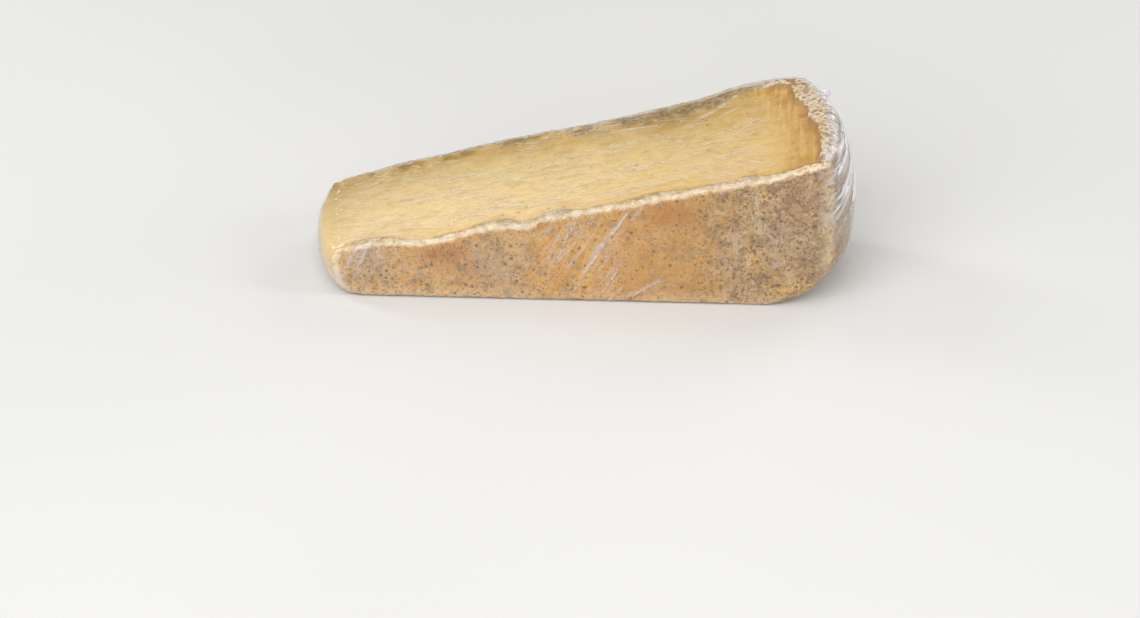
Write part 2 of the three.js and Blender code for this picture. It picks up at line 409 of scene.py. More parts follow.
def crust_width(places, depth):
    """How far the crust reaches in from the nearest rind face, in metres."""
    x = places[:, 0]
    ragged = grain(places, 6 * MM, 3, 7.0)
    front = FRONT_CRUST + 0.7 * MM * ragged
    for centre, half_length, extra in CRUST_LUMPS:
        front = front + extra * MM * bump_at(x, centre * MM, half_length * 0.62 * MM)
    back = BACK_CRUST + MOULD_EXTRA * bump_at(x, MOULD_AT, MOULD_REACH)
    back = back + CORNER_EXTRA * bump_at(x, CORNER_AT, CORNER_REACH) + 1.2 * MM * ragged
    across = np.clip(depth["front"] / (depth["front"] + depth["back"]), 0, 1)
    heel = HEEL_CRUST_IN_FRONT + HEEL_CRUST_GROWTH * across + 1.5 * MM * ragged
    nearest = np.argmin([depth["front"], depth["back"], depth["heel"]], axis=0)
    return np.maximum(np.choose(nearest, [front, back, heel]), 0.6 * MM)


# %% [markdown]
# ## Carving the cheese
# The paste dries and sinks a little inside its crust, and the crust is left standing as a bubbly
# rim. The rind is grainy, and rougher towards the heel, with a torn place near it. A sculptor would
# brush these in. Here every point is moved along its own normal by a height worked out from where
# it lies.

# %% Heights of the cheese under its film
FILM_ROOM = 0.25 * MM
PASTE_SINK = 0.55 * MM
RIM_HEIGHT = 0.6 * MM
RIND_GRAIN, SOFT_LUMPS = 0.14 * MM, 0.12 * MM
CREAM_EDGE, PALE_BACK_EDGE = 1.9 * MM, 2 * MM
BASE_CRUST = 0.9 * MM
RIM_BUBBLE, HEEL_BUBBLE = 1.9 * MM, 2.4 * MM
ROUGH_FROM, ROUGH_TO = 46 * MM, 58 * MM
BURST_FROM, BURST_TO = 58 * MM, 70 * MM

places = places_of(cheese)
depth = depths_of(places)
width = crust_width(places, depth)
in_rind = np.minimum.reduce([depth["front"], depth["back"], depth["heel"]])
in_cut = np.minimum.reduce([depth["top"], depth["tip"], depth["base"] + BASE_CRUST])
paste = in_rind - width
x = places[:, 0]
pale_back = (1 - ease(depth["back"], 2 * MM, 5 * MM)) * (1 - ease(x, -2 * MM, 10 * MM))
rind = in_cut - CREAM_EDGE - PALE_BACK_EDGE * pale_back
on_cut = 1 - ease(depth["top"], 0.6 * MM, 2.2 * MM)
crust = (1 - ease(paste, 0, 1.2 * MM)) * (1 - ease(rind, -0.4 * MM, 0.8 * MM))
rough_end = ease(x, ROUGH_FROM, ROUGH_TO)
burst = ease(x, BURST_FROM, BURST_TO)
lumps = bubbles(places, RIM_BUBBLE) * (1 - burst) + bubbles(places, HEEL_BUBBLE) * burst
fine = grain(places, 2.2 * MM, 3)
soft = grain(places, 9 * MM, 2, 3.0)

height = -FILM_ROOM - PASTE_SINK * ease(paste, 0, 1.6 * MM) * on_cut
lump_shape = lumps * (1 - burst) + (1 - np.abs(2 * lumps - 1)) * burst
height += RIM_HEIGHT * crust * lump_shape * (0.55 + 0.45 * burst)
height += RIND_GRAIN * ease(rind, 0, 1.5 * MM) * (0.6 + 0.9 * rough_end) * fine
height += SOFT_LUMPS * soft

# %% Holes in the paste
HOLES, HOLE_DEPTH = 16, 0.7
chance = np.random.default_rng(11)
for _ in range(HOLES):
    hole_x = chance.uniform(-70, 66) * MM
    hole_y = chance.uniform(-20, 20) * MM
    radius = chance.uniform(0.7, 1.25) * MM
    apart = np.hypot(places[:, 0] - hole_x, places[:, 1] - hole_y)
    bowl = np.clip(1 - (apart / radius) ** 2, 0, 1)
    height -= HOLE_DEPTH * radius * bowl * (depth["top"] < 2 * MM)

# %% The torn place in the rind, and its ridges
def near_line(flat, start, end):
    """How far points in a plane lie from a line between two places, and how far along it."""
    start, end = np.array(start) * MM, np.array(end) * MM
    way = end - start
    share = np.clip(((flat - start) @ way) / (way @ way), 0, 1)
    return np.linalg.norm(flat - start - share[:, None] * way, axis=1), share


def ridge_along(flat, path, half_width, top):
    """A ridge (or a groove, where the top is below 0) that fades out at both ends of its path."""
    raised = np.zeros(len(flat))
    pieces = len(path) - 1
    for number in range(pieces):
        apart, share = near_line(flat, path[number], path[number + 1])
        whole = (number + share) / pieces
        fade = np.sqrt(np.clip(4 * whole * (1 - whole), 0, 1))
        profile = np.exp(-((apart / (half_width * MM)) ** 2)) * fade
        raised = np.maximum(raised, profile)
    return raised * top * MM


TORN_PLACE = [
    ([(57.2, 27), (57.9, 22), (58.7, 16.9), (60.6, 10.1), (62, 8)], 0.5, -0.7),
    ([(56.0, 21), (56.6, 16), (58.9, 10.0), (60, 6)], 0.45, 0.35),
    ([(60.0, 23), (60.2, 18), (61.8, 13)], 0.45, 0.3),
    ([(56.6, 36), (57.2, 39), (59.4, 43)], 0.4, 0.3),
    ([(58.6, 36.5), (59.6, 40), (62.0, 43.5)], 0.35, 0.25),
    ([(60.8, 37.5), (62.0, 41), (64.6, 43.5)], 0.35, 0.3),
    ([(74.6, 44), (75.6, 38), (75.2, 30)], 0.5, -0.4),
    ([(76.6, 42), (77.4, 36)], 0.4, 0.3),
]
on_front = depth["front"] < 1.5 * MM
front_plane = places[:, [0, 2]]
torn = np.zeros(len(places))
for path, half_width, top in TORN_PLACE:
    torn += ridge_along(front_plane, path, half_width, top) * on_front * (0.55 + 0.9 * fine)
height += torn

places = places + normals_of(cheese) * height[:, None]
places[:, 2] = np.maximum(places[:, 2], FILM_ROOM)
set_places(cheese, places)

# %% What the material reads from the cheese
GOLDEN_REACH, BACK_SHADE_REACH = 2.4 * MM, 14 * MM
AMBER_PLATEAU, AMBER_END = 7 * MM, 25 * MM
golden = np.exp(-np.clip(depth["front"] - width, 0, 1) / GOLDEN_REACH)
# Painted shade: the paste is darkened along the back, most just inside the crust line, fading
# inwards.
back_shade = np.exp(-np.clip(depth["back"] - width, 0, 1) / BACK_SHADE_REACH)
amber = 1 - ease(depth["heel"], AMBER_PLATEAU, AMBER_END)
mouldy = ease(x, -6 * MM, 14 * MM) * (1 - ease(x, 54 * MM, 62 * MM))
mouldy = mouldy * (1 - ease(depth["back"], 8 * MM, 12 * MM))
mouldy *= ease(depth["back"] + 0.8 * MM * soft, 2.2 * MM, 3.2 * MM)

# %% Stained patches of the rind, each by its place and reach along and up, in mm
PATCHES = {
    "brown": [(-45, 17, 9, 6), (-36, 12, 5, 4), (-14, 30, 5, 3), (70, 36, 5, 8), (30, 34, 9, 4)],
    "grey": [(-28, 12, 9, 9), (-70, 12, 6, 8), (66, 30, 12, 14), (52, 18, 6, 12)],
    "gold": [(-46, 24, 6, 3), (61, 41, 3, 5), (57.5, 18, 2.5, 9), (0, 18, 12, 20), (72, 6, 10, 4)],
}
for patch_name, spots in PATCHES.items():
    tinted = np.zeros(len(places))
    for spot_x, spot_z, reach_x, reach_z in spots:
        hump = bump_at(x, spot_x * MM, reach_x * MM)
        hump *= bump_at(places[:, 2], spot_z * MM, reach_z * MM)
        tinted = np.maximum(tinted, hump)
    keep_on(cheese, patch_name, tinted)

corner = 1 - ease(depth["heel"], 1.5 * MM, 3 * MM)
corner *= bump_at(depth["front"], 2.2 * MM, 1.2 * MM)
corner *= ease(places[:, 2], 9 * MM, 17 * MM)
for name, values in {
    "corner": corner,
    "paste": paste / MM,
    "rind": rind / MM,
    "amber": amber,
    "golden": golden,
    "back_shade": back_shade,
    "mouldy": mouldy,
    "lumps": lumps,
    "torn": torn / MM,
}.items():
    keep_on(cheese, name, values)
print("carved by", round(height.min() / MM, 2), "to", round(height.max() / MM, 2), "mm")

# %% [markdown]
# ## The film
# Stretch film clings to the paste, bridges the step behind the crust, and is gathered in folds at
# both ends. The copy of the block already has its size, so it only needs the step and the folds.
# A fold is a narrow ridge along a path. Most are drawn by their ends, in millimetres on their face,
# and those at the heel fan out from the place where the film was twisted.

# %% Folds drawn on the front, the top and the back
FRONT_FOLDS = [
    ([(16.2, 36), (15.1, 33.5), (-0.1, 9.1), (-6.8, 2.0)], 0.42, 0.5),
    ([(13, 32), (3, 16)], 0.5, 0.4),
    ([(-0.8, 30.8), (-5.1, 23.5)], 0.5, 0.4),
    ([(1.5, 21), (-5.8, 11.3)], 0.5, 0.4),
    ([(13.9, 14.9), (7.9, 5.5)], 0.5, 0.45),
    ([(15.3, 1.5), (26.9, 9.1)], 0.5, 0.35),
    ([(8, 33), (-4, 12)], 0.5, 0.25),
    ([(22, 38), (9, 22)], 0.6, 0.25),
    ([(57, 44), (60, 36)], 0.5, 0.3),
    ([(66, 30), (64, 14)], 0.5, 0.2),
    ([(76, 50), (74.5, 40)], 0.6, 0.25),
    ([(-70, 22), (-76, 6)], 0.6, 0.3),
    ([(-66, 22), (-70, 12)], 0.5, 0.3),
    ([(-73, 21), (-79, 10)], 0.5, 0.35),
]
TOP_FOLDS = [
    ([(54, 24), (44, 16.5), (32.5, 10.6)], 0.55, 0.4),
    ([(53.6, 16.4), (43.6, 10.9)], 0.5, 0.3),
    ([(29.1, 14.2), (14, 15.5), (1.5, 15.9)], 0.5, 0.3),
    ([(47, -13.9), (60.5, -24.2)], 0.5, 0.3),
    ([(39, -14), (54, -26)], 0.5, 0.3),
    ([(23.9, -6), (45.7, -19.2)], 0.5, 0.25),
    ([(34, -14), (50, -27)], 0.5, 0.22),
    ([(52, -14), (66, -23)], 0.5, 0.22),
    ([(-83.1, 14.8), (-74.3, 20.7), (-60, 22)], 0.5, 0.35),
    ([(-85.6, 8.4), (-81.5, 15.6)], 0.5, 0.35),
    ([(-84.3, -6.3), (-69.1, -4.4)], 0.5, 0.2),
    ([(-84, 2), (-70, 8)], 0.5, 0.2),
]
BACK_FOLDS = [
    ([(60, 50), (30, 20), (10, 4)], 0.7, 0.5),
    ([(70, 40), (50, 12)], 0.6, 0.4),
    ([(30, 44), (12, 22)], 0.6, 0.35),
    ([(-10, 34), (-26, 6)], 0.6, 0.4),
    ([(-40, 26), (-60, 4)], 0.6, 0.35),
    ([(-64, 20), (-74, 6)], 0.5, 0.35),
    ([(-20, 8), (4, 3)], 0.6, 0.3),
    ([(80, 51), (66, 47), (50, 44)], 0.6, 0.45),
    ([(80, 47), (68, 40), (57, 30)], 0.6, 0.45),
    ([(80, 44), (72, 33), (66, 20)], 0.6, 0.4),
    ([(80, 40), (76, 28), (73, 14)], 0.6, 0.4),
    ([(79, 49), (70, 44), (62, 38)], 0.5, 0.35),
]

# %% Folds that fan out from the twist, and from under the tip
TWIST_AT = Vector((79.2, 21.1, 54.2)) * MM
TIP_GATHER = (-4 * MM, -9 * MM)
HEEL_FOLDS, HEEL_REACH, HEEL_FOLD_TOP = 54, 66 * MM, 0.8 * MM
TIP_FOLDS, TIP_REACH, TIP_FOLD_TOP = 34, 44 * MM, 0.45 * MM


def fan(flat, middle, folds, reach, top, chance):
    """Radial folds round a middle, each with its own angle, length and height."""
    offset = flat - np.array(middle)
    radius = np.linalg.norm(offset, axis=1)
    angle = np.arctan2(offset[:, 0], -offset[:, 1])
    raised = np.zeros(len(flat))
    for number in range(folds):
        turn = -pi + 2 * pi * (number + chance.uniform(0.2, 0.8)) / folds
        length = reach * chance.uniform(0.35, 1.0)
        half_width = chance.uniform(0.4, 0.8) * MM
        bend = chance.uniform(-0.12, 0.12) * radius / reach
        apart = radius * np.abs(np.sin(angle - turn - bend))
        same_side = np.cos(angle - turn) > 0
        fade = ease(radius, 0.5 * MM, 7 * MM) * (1 - ease(radius, length * 0.6, length))
        profile = np.exp(-((apart / half_width) ** 2)) * fade * same_side
        raised = np.maximum(raised, profile * chance.uniform(0.5, 1.0))
    return raised * top, radius, angle


places = places_of(film)
x = places[:, 0]
depth = depths_of(places)
paste = np.minimum.reduce([depth["front"], depth["back"], depth["heel"]])
paste -= crust_width(places, depth)
at_heel = 1 - ease(depth["heel"], 0.8 * MM, 3.5 * MM)
at_tip = 1 - ease(depth["tip"], 0.8 * MM, 3.5 * MM)
on_front = 1 - ease(depth["front"], 0.3 * MM, 1.2 * MM)
on_back = 1 - ease(depth["back"], 0.3 * MM, 1.2 * MM)
on_top = 1 - ease(depth["top"], 0.4 * MM, 1.6 * MM)

folds = np.zeros(len(places))
for faces, plane, drawn in (
    (on_front, [0, 2], FRONT_FOLDS),
    (on_top, [0, 1], TOP_FOLDS),
    (on_back, [0, 2], BACK_FOLDS),
):
    for path, half_width, top in drawn:
        folds = np.maximum(folds, ridge_along(places[:, plane], path, half_width, top) * faces)

chance = np.random.default_rng(5)
end_plane = places[:, [1, 2]]
heel_fan, heel_radius, heel_angle = fan(
    end_plane, (TWIST_AT.y, TWIST_AT.z), HEEL_FOLDS, HEEL_REACH, HEEL_FOLD_TOP, chance
)
tip_fan, tip_radius, tip_angle = fan(
    end_plane, TIP_GATHER, TIP_FOLDS, TIP_REACH, TIP_FOLD_TOP, chance
)
folds = np.maximum.reduce([folds, heel_fan * at_heel * (1 - on_top), tip_fan * at_tip])

# %% Move the film
FILM_SINK, FILM_GAP, FILM_FLOOR = 0.35 * MM, 0.1 * MM, 0.03 * MM
BOX_GAP = 0.02 * MM
FINE_RIPPLE, EDGE_RIPPLE = 0.1 * MM, 0.35 * MM
OVERLAP_START, OVERLAP_END, OVERLAP_STEP = -17.3 * MM, -16.2 * MM, 0.15 * MM
stretched = places * np.array((0.22, 1, 1))
ripple = FINE_RIPPLE * grain(stretched, 3.2 * MM, 2, 9.0) * (1 - at_heel)
back_edge = on_top * (1 - ease(depth["back"], 1.5 * MM, 3.0 * MM))
ripple += EDGE_RIPPLE * grain(stretched, 6 * MM, 3, 4.0) * back_edge
past_overlap = ease(x, OVERLAP_START, OVERLAP_END)
seam = OVERLAP_STEP * past_overlap * on_front
above_base = ease(places[:, 2], 0.2 * MM, 1.6 * MM)
height = (folds + ripple - seam) * above_base
height -= FILM_SINK * ease(paste, 0.5 * MM, 7 * MM) * on_top
places = places + normals_of(film) * height[:, None]
film_low = np.array(cad_low) + BOX_GAP
film_high = np.array(cad_high) - BOX_GAP
places = np.clip(places, film_low, film_high)
places[:, 2] = np.maximum(places[:, 2], FILM_FLOOR)
set_places(film, places)
finish_with(
    film,
    "SHRINKWRAP",
    target=cheese,
    wrap_method="NEAREST_SURFACEPOINT",
    wrap_mode="OUTSIDE",
    offset=FILM_GAP,
)
set_places(film, np.clip(places_of(film), film_low, film_high))

# %% Where the film is milky
CLEAR_HAZE, FOLD_HAZE_AND_HIGHLIGHT, EDGE_HAZE_AND_HIGHLIGHT, UNDERLAP_HAZE = 0.006, 0.6, 0.4, 0.04
HAZE_LOW, HAZE_HIGH = 20 * MM, 38 * MM
CORNER_HAZE_REACH = 17 * MM
raised = np.clip(folds / (0.6 * MM), 0, 1)
high = ease(places[:, 2], HAZE_LOW, HAZE_HIGH)
# At the heel the bunched film is milky, and its haze there is also painted highlight: whiter higher
# up and along the folds.
heel_haze_and_highlight = (1 - ease(depth["heel"], 0.9 * MM, 3.6 * MM)) * (0.02 + 0.72 * high)
heel_haze_and_highlight *= 0.3 + 0.7 * ease(depth["front"], 1.5 * MM, 5 * MM)
round_corner = on_back * (1 - ease(depth["heel"], 1 * MM, CORNER_HAZE_REACH))
round_corner *= ease(places[:, 2], 14 * MM, 40 * MM)
heel_haze_and_highlight = np.maximum(heel_haze_and_highlight, 0.6 * round_corner)
tip_haze = (0.28 - 0.28 * ease(places[:, 2], 7 * MM, 16 * MM)) * at_tip
haze = CLEAR_HAZE + heel_haze_and_highlight * (0.8 + 0.7 * raised) + tip_haze
# Along the raised folds the haze is partly milky bunched film and partly painted highlight.
haze = haze + FOLD_HAZE_AND_HIGHLIGHT * raised * (1 - at_heel)
# Along the back edge of the cut the haze is crumpled film and a painted highlight line.
haze += UNDERLAP_HAZE * on_front * (1 - past_overlap) + EDGE_HAZE_AND_HIGHLIGHT * back_edge
keep_on(film, "haze", np.clip(haze, 0, 1))

# %% Where the film is creased
front_creases = np.maximum(bump_at(x, -1 * MM, 15 * MM), 0.8 * bump_at(x, -71 * MM, 7 * MM))
creasing = 1 - on_front * (1 - 0.12 - 0.88 * front_creases) - 0.5 * on_back
creasing -= 0.45 * on_top * (1 - ease(depth["heel"], 16 * MM, 28 * MM))
creasing -= 0.35 * on_top * (1 - ease(depth["heel"], 7 * MM, 9 * MM))
creasing = np.maximum(creasing, 1 - ease(depth["heel"], 0.3 * MM, 1.6 * MM)) - 0.5 * at_tip
creasing = np.maximum(creasing, round_corner)
creasing *= 1 - 0.55 * at_heel * (1 - high)
keep_on(film, "creasing", np.clip(creasing, 0, 1))
keep_on(film, "upright", np.maximum(on_front, on_back))

# %% Which way the creases fan out
CORNER_STRETCH = 2.5
heel_share = at_heel / (at_heel + at_tip + 1e-6)
fan_angle = np.where(heel_share > 0.5, heel_angle, tip_angle)
fan_radius = np.where(heel_share > 0.5, heel_radius, tip_radius)
fan_radius = fan_radius + CORNER_STRETCH * np.clip(depth["heel"], 0, 1) * on_back
fan_place = np.stack([fan_angle, fan_radius / MM, np.zeros(len(fan_angle))], axis=1)
on_end = 1 - ease(np.minimum(depth["heel"], depth["tip"]), 0.3 * MM, 1.6 * MM)
keep_on(film, "fan", fan_place, "FLOAT_VECTOR")
keep_on(film, "gathered", np.maximum(on_end, ease(round_corner, 0, 0.3)))
print("the film has folds up to", round(folds.max() / MM, 2), "mm high")

# %% [markdown]
# ## The twist
# Where the film was gathered it ends in a small twisted knob. It is a pleated tube: a circle with
# every second point pulled in, extruded a few times, and turned and resized at each step.

# %% The twist
PLEATS = 9
KNOB_RADIUS, PLEATED_TO, KNOB_LUMPS = 2.2 * MM, 0.72, 0.1 * MM
# Each step is how far it rises, in mm, and how much wider it gets.
NECK_STEPS = [(0.7, 0.8), (0.6, 0.9), (0.7, 1.25), (0.8, 1.15)]
CROWN_STEPS = [(0.8, 1.0), (0.7, 0.8), (0.5, 0.55), (0.2, 0.3)]
TWIST_TURN = radians(16)
TWIST_WAY = Vector((0.8, 0.15, 0.6)).normalized()

bpy.ops.object.select_all(action="DESELECT")
bpy.ops.mesh.primitive_circle_add(vertices=PLEATS * 2, radius=KNOB_RADIUS, fill_type="NGON")
twist = bpy.context.object
twist.name = "film_twist"
edit(twist)
pick(twist, lambda vertex: vertex.index % 2 == 0)
bpy.ops.transform.resize(value=(PLEATED_TO, PLEATED_TO, 1), center_override=(0, 0, 0))
bpy.ops.mesh.select_all(action="SELECT")
bpy.ops.mesh.flip_normals()
top_now = 0
for rise, growth in NECK_STEPS + CROWN_STEPS:
    top_now += rise * MM
    bpy.ops.mesh.extrude_region_move(TRANSFORM_OT_translate={"value": (0, 0, rise * MM)})
    bpy.ops.transform.resize(value=(growth, growth, 1), center_override=(0, 0, top_now))
    bpy.ops.transform.rotate(
        value=TWIST_TURN, orient_axis="Z", orient_type="GLOBAL", center_override=(0, 0, top_now)
    )
bpy.ops.mesh.select_all(action="SELECT")
bpy.ops.mesh.normals_make_consistent(inside=False)
leave()
twist.rotation_euler = TWIST_WAY.to_track_quat("Z", "Y").to_euler()
twist.location = TWIST_AT - TWIST_WAY * 1.2 * MM
bpy.ops.object.transform_apply(location=True, rotation=True, scale=True)
finish_with(twist, "SUBSURF", levels=3, render_levels=3)
bpy.ops.object.shade_smooth()
knob = places_of(twist)
knob += KNOB_LUMPS * normals_of(twist) * grain(knob, 1.6 * MM, 2)[:, None]
set_places(twist, np.clip(knob, film_low, film_high))
for name, value in {"haze": 0.5, "creasing": 0.3, "gathered": 0, "upright": 0}.items():
    keep_on(twist, name, np.full(len(knob), value))
print("the twist is", round(top_now / MM, 1), "mm long, with", len(twist.data.polygons), "faces")

# %% [markdown]
# ## Small helpers for materials
# A material is a tree of nodes. By hand each node is added, set and wired. These helpers do the
# same in one line each, and find the tree through a wire that they are given, so that the materials
# below read from top to bottom.

# %% Nodes and wires
def add_node(tree, kind, wires=None, **settings):
    """Adds a node. Each wire sets an input, by name or number, to an output or a value."""
    made = tree.nodes.new(kind)
    for setting, value in settings.items():
        setattr(made, setting, value)
    for socket, value in (wires or {}).items():
        if isinstance(value, bpy.types.NodeSocket):
            tree.links.new(value, made.inputs[socket])
        else:
            made.inputs[socket].default_value = value
    return made


def wired(kind, wires, **settings):
    """Adds a node to the tree that its first wire comes from."""
    ends = [value for value in wires.values() if isinstance(value, bpy.types.NodeSocket)]
    return add_node(ends[0].id_data, kind, wires, **settings)


def reckon(operation, first, second=0.0, third=0.0):
    """One sum on values or wires."""
    wires = {0: first, 1: second, 2: third}
    return wired("ShaderNodeMath", wires, operation=operation).outputs[0]


def times(first, second):
    return reckon("MULTIPLY", first, second)


def plus(first, second):
    return reckon("ADD", first, second)


def opaque(colour):
    """Gives a plain colour its alpha, and leaves a wire as it is."""
    return (*colour, 1) if isinstance(colour, tuple) else colour


def mixed(share, first, second):
    """Mixes two colours: the first where the share is 0, the second where it is 1."""
    wires = {0: share, 6: opaque(first), 7: opaque(second)}
    return wired("ShaderNodeMix", wires, data_type="RGBA").outputs[2]


def layered(colour, layers):
    """Lays colours over a first one, each where its own share says."""
    for share, over in layers:
        colour = mixed(share, colour, over)
    return colour


def spread(value, low, high, bottom=0.0, top=1.0):
    """Maps a value from low and high to bottom and top, smoothly and no further."""
    wires = {"Value": value, "From Min": low, "From Max": high, "To Min": bottom, "To Max": top}
    node = wired("ShaderNodeMapRange", wires, interpolation_type="SMOOTHSTEP")
    return node.outputs["Result"]


def noise_at(place, size, detail=3.0, distortion=0.0):
    """Noise with lumps of this size, in metres, between about 0 and 1."""
    wires = {"Vector": place, "Scale": 1 / size, "Detail": detail, "Distortion": distortion}
    return wired("ShaderNodeTexNoise", wires, normalize=True).outputs["Fac"]


def ramp(value, stops):
    """A colour ramp through stops of (position, colour)."""
    node = wired("ShaderNodeValToRGB", {"Fac": value})
    elements = node.color_ramp.elements
    while len(elements) < len(stops):
        elements.new(1.0)
    for element, (position, colour) in zip(elements, stops):
        element.position = position
        element.color = (*colour, 1)
    return node.outputs["Color"]


def stored(tree, name, output="Fac"):
    """Reads what was stored on the mesh under this name."""
    return add_node(tree, "ShaderNodeAttribute", attribute_name=name).outputs[output]


def new_material(name):
    """A material with its Principled shader, its tree and the place on the object."""
    material = bpy.data.materials.new(name)
    material.use_nodes = True
    tree = material.node_tree
    place = add_node(tree, "ShaderNodeTexCoord").outputs["Object"]
    return material, tree, tree.nodes["Principled BSDF"], place


# %% [markdown]
# ## Specks
# Mould, dirt and tiny holes are all small dots that lie here and there. One node group makes them:
# it spreads cells of one size, keeps a share of them, and draws a dot in each that is kept.

# %% The group for specks
SPECK_INPUTS = {"Place": "NodeSocketVector", "Size": "NodeSocketFloat", "Share": "NodeSocketFloat"}
WOBBLES_PER_METRE, WOBBLE_REACH = 1400.0, 0.0009
specks = bpy.data.node_groups.new("specks", "ShaderNodeTree")
for socket_name, kind in SPECK_INPUTS.items():
    specks.interface.new_socket(socket_name, in_out="INPUT", socket_type=kind)
specks.interface.new_socket("Mask", in_out="OUTPUT", socket_type="NodeSocketFloat")
given = add_node(specks, "NodeGroupInput")
wires = {"Vector": given.outputs["Place"], "Scale": WOBBLES_PER_METRE, "Detail": 3.0}
wobble = wired("ShaderNodeTexNoise", wires).outputs["Color"]
wires = {0: wobble, 1: (WOBBLE_REACH,) * 3, 2: given.outputs["Place"]}
wobbly = wired("ShaderNodeVectorMath", wires, operation="MULTIPLY_ADD")
per_metre = reckon("DIVIDE", 1.0, given.outputs["Size"])
cells = wired("ShaderNodeTexVoronoi", {"Vector": wobbly.outputs[0], "Scale": per_metre})
dot = spread(cells.outputs["Distance"], 0.42, 0.22)
lot = wired("ShaderNodeSeparateColor", {"Color": cells.outputs["Color"]}).outputs[0]
kept = reckon("LESS_THAN", lot, given.outputs["Share"])
wired("NodeGroupOutput", {"Mask": times(dot, kept)})


def dots(place, size, share):
    """Places the group for specks. The size is in metres."""
    wires = {"Place": place, "Size": size, "Share": share}
    return wired("ShaderNodeGroup", wires, node_tree=specks).outputs["Mask"]


# %% [markdown]
# ## The cheese's material
# One material covers the wedge, as one cheese does, and the depths that were stored on the mesh say
# where it is paste, crust or rind. Noise is added to each depth before it is compared, so that the
# borders come out ragged, as they are where mould has grown. On the rind, blotches, a grey bloom and
# dark specks lie thicker where it is greyer.

# %% Noise for the cheese
cheese_material, tree, cheese_shader, place = new_material("tomme cheese")
along_x = wired("ShaderNodeSeparateXYZ", {"Vector": place}).outputs["X"]
above_floor = wired("ShaderNodeSeparateXYZ", {"Vector": place}).outputs["Z"]
tiny = noise_at(place, 0.7 * MM, 2.0)
small = noise_at(place, 1.5 * MM, 4.0)
clumps = noise_at(place, 2.8 * MM, 4.0)
medium = noise_at(place, 6 * MM, 4.0)
large = noise_at(place, 22 * MM, 3.0)
amber_value, back_shade_value = stored(tree, "amber"), stored(tree, "back_shade")
mouldy_value, lump_value = stored(tree, "mouldy"), stored(tree, "lumps")
paste_depth, rind_depth = stored(tree, "paste"), stored(tree, "rind")

# %% Paste
PASTE_END_SHADED, PASTE_TIP = (0.72, 0.53, 0.24), (0.82, 0.655, 0.355)
PASTE_MIDDLE, PASTE_HEEL = (0.78, 0.605, 0.305), (0.70, 0.505, 0.22)
PASTE_PALE, PASTE_WARM = (0.86, 0.72, 0.44), (0.70, 0.49, 0.19)
BACK_SHADE, BACK_SHADOW = (0.42, 0.255, 0.03), (0.24, 0.155, 0.055)
GOLDEN, AMBER = (0.74, 0.45, 0.12), (0.50, 0.265, 0.04)
AMBER_STRIPE, HEEL_CRUST_SHADOW = (0.76, 0.50, 0.165), (0.33, 0.17, 0.045)
PIT = (0.33, 0.22, 0.06)
STRIPE_SIZE = (1.1 * MM, 12 * MM, 12 * MM)

# The first stop is painted shade, where the paste curves down at the very tip.
paste_stops = [(0.0, PASTE_END_SHADED), (0.02, PASTE_TIP), (0.5, PASTE_MIDDLE), (0.9, PASTE_HEEL)]
# Painted shade along the back of the paste, made uneven by noise.
back_shade_share = times(back_shade_value, spread(medium, 0.3, 0.7, 0.75, 1.1))
# A painted shadow: dark brown patches just behind the crust line at the back.
back_crust_shadow = times(spread(back_shade_value, 0.72, 0.95), 0.65)
back_crust_shadow = times(back_crust_shadow, spread(medium, 0.46, 0.6))
golden_share = times(stored(tree, "golden"), spread(medium, 0.25, 0.65, 0.55, 1.0))
amber_share = times(amber_value, spread(medium, 0.2, 0.8, 0.7, 1.15))
wires = {"Vector": place, "Scale": STRIPE_SIZE}
striped = wired("ShaderNodeMapping", wires, vector_type="TEXTURE").outputs[0]
striped = spread(noise_at(striped, 1.0, 2.0), 0.45, 0.62)
striped = times(striped, spread(amber_value, 0.0, 0.6, 0.0, 0.45))
# A painted shadow: a dark brown line in the amber paste along the inner border of the crust near the
# heel.
heel_crust_shadow = times(spread(paste_depth, 3.4, 0.2), amber_value)
heel_crust_shadow = times(heel_crust_shadow, spread(medium, 0.35, 0.6, 0.5, 0.95))
length_share = spread(along_x, cad_low[0], cad_high[0])
paste_layers = [
    (spread(medium, 0.35, 0.75, 0.0, 0.15), PASTE_PALE),
    (spread(large, 0.45, 0.7, 0.0, 0.12), PASTE_WARM),
    (back_shade_share, BACK_SHADE),
    (back_crust_shadow, BACK_SHADOW),
    (golden_share, GOLDEN),
    (amber_share, AMBER),
    (striped, AMBER_STRIPE),
    (heel_crust_shadow, HEEL_CRUST_SHADOW),
    (times(dots(place, 2.6 * MM, 0.035), 0.45), PIT),
]
paste_colour = layered(ramp(length_share, paste_stops), paste_layers)
print("the paste has", len(paste_layers), "layers of colour")

# %% Crust
CREAM, CREAM_DARK, CREAM_PALE = (0.60, 0.52, 0.35), (0.46, 0.335, 0.18), (0.80, 0.68, 0.47)
CRACK, RIM_TAN = (0.46, 0.29, 0.12), (0.62, 0.44, 0.25)
BUBBLE_BROWN, BUBBLE_CREAM = (0.34, 0.205, 0.085), (0.72, 0.60, 0.47)
BUBBLE_GOLD = (0.66, 0.47, 0.25)
MOULD_LIGHT, MOULD_DARK = (0.36, 0.235, 0.08), (0.22, 0.14, 0.05)

